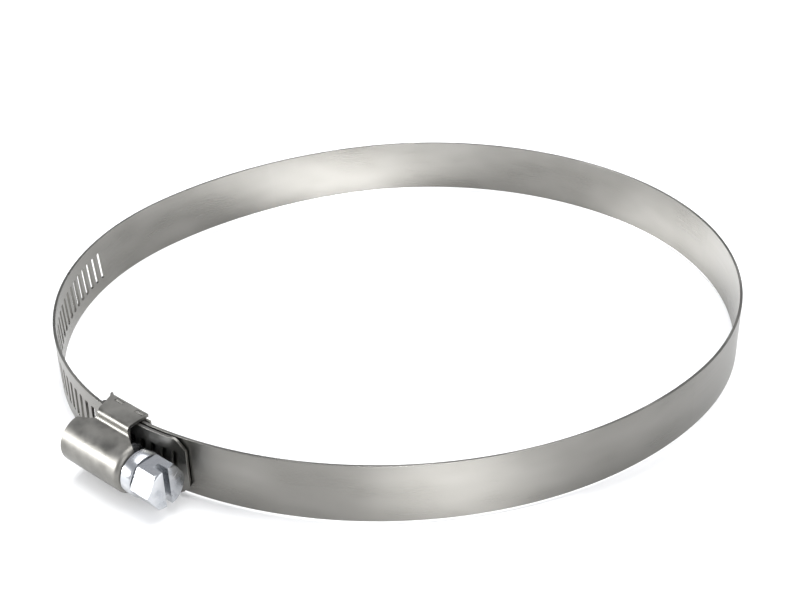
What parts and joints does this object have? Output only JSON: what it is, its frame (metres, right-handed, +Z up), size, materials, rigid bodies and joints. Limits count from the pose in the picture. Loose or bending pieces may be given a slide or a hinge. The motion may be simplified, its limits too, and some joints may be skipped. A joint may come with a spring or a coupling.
{
  "type": "worm-drive hose clamp",
  "caption": "Worm-drive clamp for a flexible air duct: a slotted stainless band ring with a pressed housing, a saddle and a slotted hex worm screw.",
  "frame": {"origin": "centre of the clamp's box, on the surface that it lies on", "axes": "+Z up along the ring's axis; the housing is at the lower left, and -Y is the side that the screw's head turns towards"},
  "size_m": [0.1474, 0.1326, 0.0142],
  "materials": {
    "band": "bright rolled stainless strip, satin along its length",
    "housing": "pressed stainless, soft satin",
    "saddle": "pressed stainless, satin",
    "screw": "bright bluish zinc plating"
  },
  "bodies": {
    "root": {"housing": "housing", "saddle": "saddle"},
    "screw": {"worm_screw": "screw"},
    "tail": {"band_tail": "band"},
    "link_01": {"band_link_01": "band"},
    "link_02": {"band_link_02": "band"},
    "link_03": {"band_link_03": "band"},
    "link_04": {"band_link_04": "band"},
    "link_05": {"band_link_05": "band"},
    "link_06": {"band_link_06": "band"},
    "link_07": {"band_link_07": "band"},
    "link_08": {"band_link_08": "band"},
    "link_09": {"band_link_09": "band"},
    "link_10": {"band_link_10": "band"},
    "link_11": {"band_link_11": "band"},
    "link_12": {"band_link_12": "band"},
    "fixed_end": {"band_fixed_end": "band"}
  },
  "joints": [
    {"name": "screw_turn", "type": "hinge", "parent": "root", "child": "screw", "pos_m": [-0.05556, -0.05211, 0.0071], "axis": [-0.7547, 0.6561, 0], "range_deg": [-1080, 5760]},
    {"name": "tail_feed", "type": "hinge", "parent": "root", "child": "tail", "pos_m": [-0.01344, -0.00366, 0.0071], "axis": [0, 0, 1], "range_deg": [-7.38, 38.91]},
    {"name": "flex_01", "type": "hinge", "parent": "tail", "child": "link_01", "pos_m": [-0.07343, -0.00477, 0.0071], "axis": [0, 0, -1], "range_deg": [-1.45, 7.51]},
    {"name": "flex_02", "type": "hinge", "parent": "link_01", "child": "link_02", "pos_m": [-0.06596, 0.02536, 0.0071], "axis": [0, 0, -1], "range_deg": [-0.86, 4.4]},
    {"name": "flex_03", "type": "hinge", "parent": "link_02", "child": "link_03", "pos_m": [-0.04488, 0.04831, 0.0071], "axis": [0, 0, -1], "range_deg": [-0.29, 1.31]},
    {"name": "flex_04", "type": "hinge", "parent": "link_03", "child": "link_04", "pos_m": [-0.01702, 0.06248, 0.0071], "axis": [0, 0, -1], "range_deg": [-0.163, 0.655]},
    {"name": "flex_05", "type": "hinge", "parent": "link_04", "child": "link_05", "pos_m": [0.01398, 0.06558, 0.0071], "axis": [0, 0, -1], "range_deg": [-0.32, 1.47]},
    {"name": "flex_06", "type": "hinge", "parent": "link_05", "child": "link_06", "pos_m": [0.04328, 0.05503, 0.0071], "axis": [0, 0, -1], "range_deg": [-0.73, 3.65]},
    {"name": "flex_07", "type": "hinge", "parent": "link_06", "child": "link_07", "pos_m": [0.06492, 0.03269, 0.0071], "axis": [0, 0, -1], "range_deg": [-0.92, 4.7]},
    {"name": "flex_08", "type": "hinge", "parent": "link_07", "child": "link_08", "pos_m": [0.0731, 0.00273, 0.0071], "axis": [0, 0, -1], "range_deg": [-0.68, 3.4]},
    {"name": "flex_09", "type": "hinge", "parent": "link_08", "child": "link_09", "pos_m": [0.06559, -0.02742, 0.0071], "axis": [0, 0, -1], "range_deg": [-0.28, 1.25]},
    {"name": "flex_10", "type": "hinge", "parent": "link_09", "child": "link_10", "pos_m": [0.0447, -0.05052, 0.0071], "axis": [0, 0, -1], "range_deg": [-0.162, 0.647]},
    {"name": "flex_11", "type": "hinge", "parent": "link_10", "child": "link_11", "pos_m": [0.01637, -0.0636, 0.0071], "axis": [0, 0, -1], "range_deg": [-0.162, 0.647]},
    {"name": "flex_12", "type": "hinge", "parent": "link_11", "child": "link_12", "pos_m": [-0.0148, -0.06485, 0.0071], "axis": [0, 0, -1], "range_deg": [-0.62, 3.1]},
    {"name": "flex_13", "type": "hinge", "parent": "link_12", "child": "fixed_end", "pos_m": [-0.04409, -0.05408, 0.0071], "axis": [0, 0, -1], "range_deg": [-1.3, 6.71]}
  ],
  "couplings": [
    {"joint": "tail_feed", "follows": "screw_turn", "ratio": 0.0067376},
    {"joint": "flex_01", "follows": "screw_turn", "ratio": 0.0012957},
    {"joint": "flex_02", "follows": "screw_turn", "ratio": 0.00075508},
    {"joint": "flex_03", "follows": "screw_turn", "ratio": 0.00021848},
    {"joint": "flex_04", "follows": "screw_turn", "ratio": 0.00010508},
    {"joint": "flex_05", "follows": "screw_turn", "ratio": 0.00024616},
    {"joint": "flex_06", "follows": "screw_turn", "ratio": 0.00062579},
    {"joint": "flex_07", "follows": "screw_turn", "ratio": 0.00080704},
    {"joint": "flex_08", "follows": "screw_turn", "ratio": 0.00058196},
    {"joint": "flex_09", "follows": "screw_turn", "ratio": 0.00020872},
    {"joint": "flex_10", "follows": "screw_turn", "ratio": 0.00010365},
    {"joint": "flex_11", "follows": "screw_turn", "ratio": 0.00010365},
    {"joint": "flex_12", "follows": "screw_turn", "ratio": 0.00052968},
    {"joint": "flex_13", "follows": "screw_turn", "ratio": 0.0011566}
  ]
}
